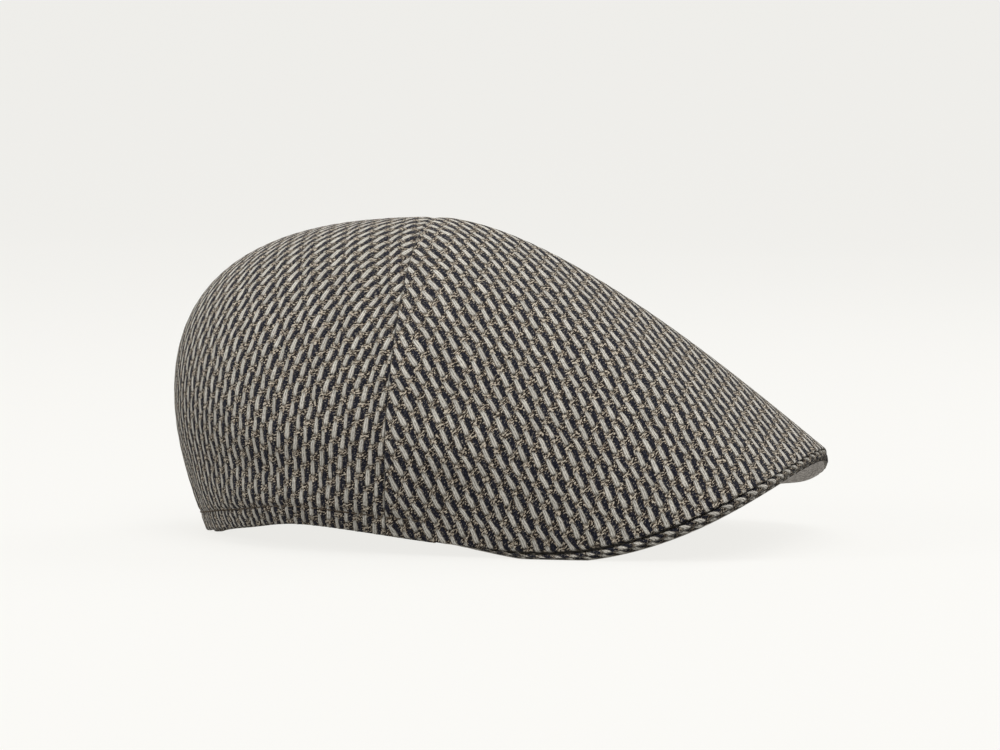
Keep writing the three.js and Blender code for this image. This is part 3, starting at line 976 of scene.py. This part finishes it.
def stitchMesh():
    angle = roundTheBack(peak["endAngle"] + stitch["endGap"], np.linspace(0, 1, stitch["lineSteps"]))
    disc = onDisc(angle) * (1 - hem["stitchLine"] / clothPerRadius(angle))[:, None]
    smooth, normal, sunk = surfaceAt(disc)
    line = smooth - normal * sunk
    run = along(line)
    rings, sides, radius = stitch["rings"], stitch["sides"], stitch["threadRadius"]
    share = np.linspace(0, 1, rings)
    bulge = np.sin(math.pi * (stitch["blunt"] + (1 - 2 * stitch["blunt"]) * share))[:, None]
    points, cloth, faces = [], [], []
    for start in np.arange(stitch["first"], run[-1] - stitch["length"], stitch["step"]):
        places = start + share * stitch["length"]
        middle = np.stack([np.interp(places, run, line[:, k]) for k in range(3)], -1)
        out = unit(np.stack([np.interp(places, run, normal[:, k]) for k in range(3)], -1))
        up = np.cross(out, unit(np.gradient(middle, axis=0)))
        middle = middle + out * radius * (stitch["rise"] * bulge - stitch["sunk"])
        base = len(points) * rings * sides
        section = []
        for phi in 2 * math.pi * np.arange(sides) / sides:
            section.append(middle + (out * math.cos(phi) + up * math.sin(phi)) * radius * bulge ** 0.5)
        points.append(flatRows(np.stack(section, 1)))
        around = np.arange(sides) / sides * stitch["threadRound"]
        cloth.append(flatRows(np.stack(np.meshgrid(places, around, indexing="ij"), -1)))
        for i in range(rings - 1):
            for k in range(sides):
                one, two = base + i * sides + k, base + i * sides + (k + 1) % sides
                faces.append([one, two, two + sides, one + sides])
        faces.append([base + k for k in range(sides)])
        faces.append([base + (rings - 1) * sides + k for k in range(sides)])
    return np.concatenate(points), faces, np.concatenate(cloth)


points, faces, cloth = stitchMesh()
enrol(makeMesh("hem_stitches", shift(points), faces, cloth, thread))

# Stage: a pale floor that curves up behind the cap. It looks bright but throws little light back up
stage = {
    "width": 9.0,
    "front": -3.0,
    "depth": 3.0,
    "bend": 1.6,
    "rise": 4.0,
    "colour": (0.06, 0.06, 0.059),
    "glow": (1.0, 0.99, 0.955),
    "seen": 0.82,           # strength of the glow as the camera sees it, and as it lights the cap
    "thrown": 0.3,
    "sky": 0.38,
}
deselectAll()
bpy.ops.mesh.primitive_grid_add(x_subdivisions=2, y_subdivisions=60, size=1)
floor = bpy.context.object
floor.name = "floor"
flatRun = stage["depth"] - stage["front"]
for vertex in floor.data.vertices:
    run = (vertex.co.y + 0.5) * (flatRun + stage["rise"] + stage["bend"])
    turn = min(max(run - flatRun, 0) / stage["bend"], math.pi / 2)
    y = stage["front"] + min(run, flatRun) + stage["bend"] * math.sin(turn)
    z = stage["bend"] * (1 - math.cos(turn)) + max(run - flatRun - stage["bend"] * math.pi / 2, 0)
    vertex.co = (vertex.co.x * stage["width"], y, z)
bpy.ops.object.shade_smooth()
floorMaterial = bpy.data.materials.new("floor")
floorMaterial.use_nodes = True
floorTree = floorMaterial.node_tree
floorShader = floorTree.nodes["Principled BSDF"]
floorShader.inputs["Base Color"].default_value = (*stage["colour"], 1)
floorShader.inputs["Roughness"].default_value = 0.9
floorShader.inputs["Emission Color"].default_value = (*stage["glow"], 1)
floorSeen = addNode(floorTree, "ShaderNodeLightPath").outputs["Is Camera Ray"]
floorGlow = calc(floorTree, "MULTIPLY_ADD", floorSeen, stage["seen"] - stage["thrown"], stage["thrown"])
floorTree.links.new(floorGlow, floorShader.inputs["Emission Strength"])
floor.data.materials.append(floorMaterial)

# Camera and light
camera = {"place": (0.4742, -1.5250, 0.1678), "target": (0.00098, -0.00016, 0.06236), "lens": 147.4, "sensor": 36}
lampAim = (0, 0, 0.06)
# place, width and power of each lamp
lamps = {
    "key": ((0.9, -1.2, 1.9), 1.2, 22),
    "overhead": ((0.0, 0.1, 2.2), 1.8, 26),
    "fill": ((-1.5, -0.9, 0.8), 0.9, 16),
    "back": ((0.9, 1.5, 1.4), 1.2, 14),
}


def aimed(name, data, place, target):
    thing = bpy.data.objects.new(name, data)
    bpy.context.collection.objects.link(thing)
    thing.location = place
    thing.rotation_euler = (Vector(target) - Vector(place)).to_track_quat("-Z", "Y").to_euler()
    return thing


cameraData = bpy.data.cameras.new("camera")
cameraData.lens = camera["lens"]
cameraData.sensor_width = camera["sensor"]
bpy.context.scene.camera = aimed("camera", cameraData, camera["place"], camera["target"])
for name, (place, width, power) in lamps.items():
    lamp = bpy.data.lights.new(name, "AREA")
    lamp.shape = "DISK"
    lamp.size = width
    lamp.energy = power
    aimed(name, lamp, place, lampAim)
world = bpy.data.worlds.new("studio")
bpy.context.scene.world = world
world.use_nodes = True
world.node_tree.nodes["Background"].inputs[0].default_value = (1, 1, 1, 1)
world.node_tree.nodes["Background"].inputs[1].default_value = stage["sky"]
bpy.context.scene.view_settings.view_transform = "Standard"
print("stage, camera and light set")
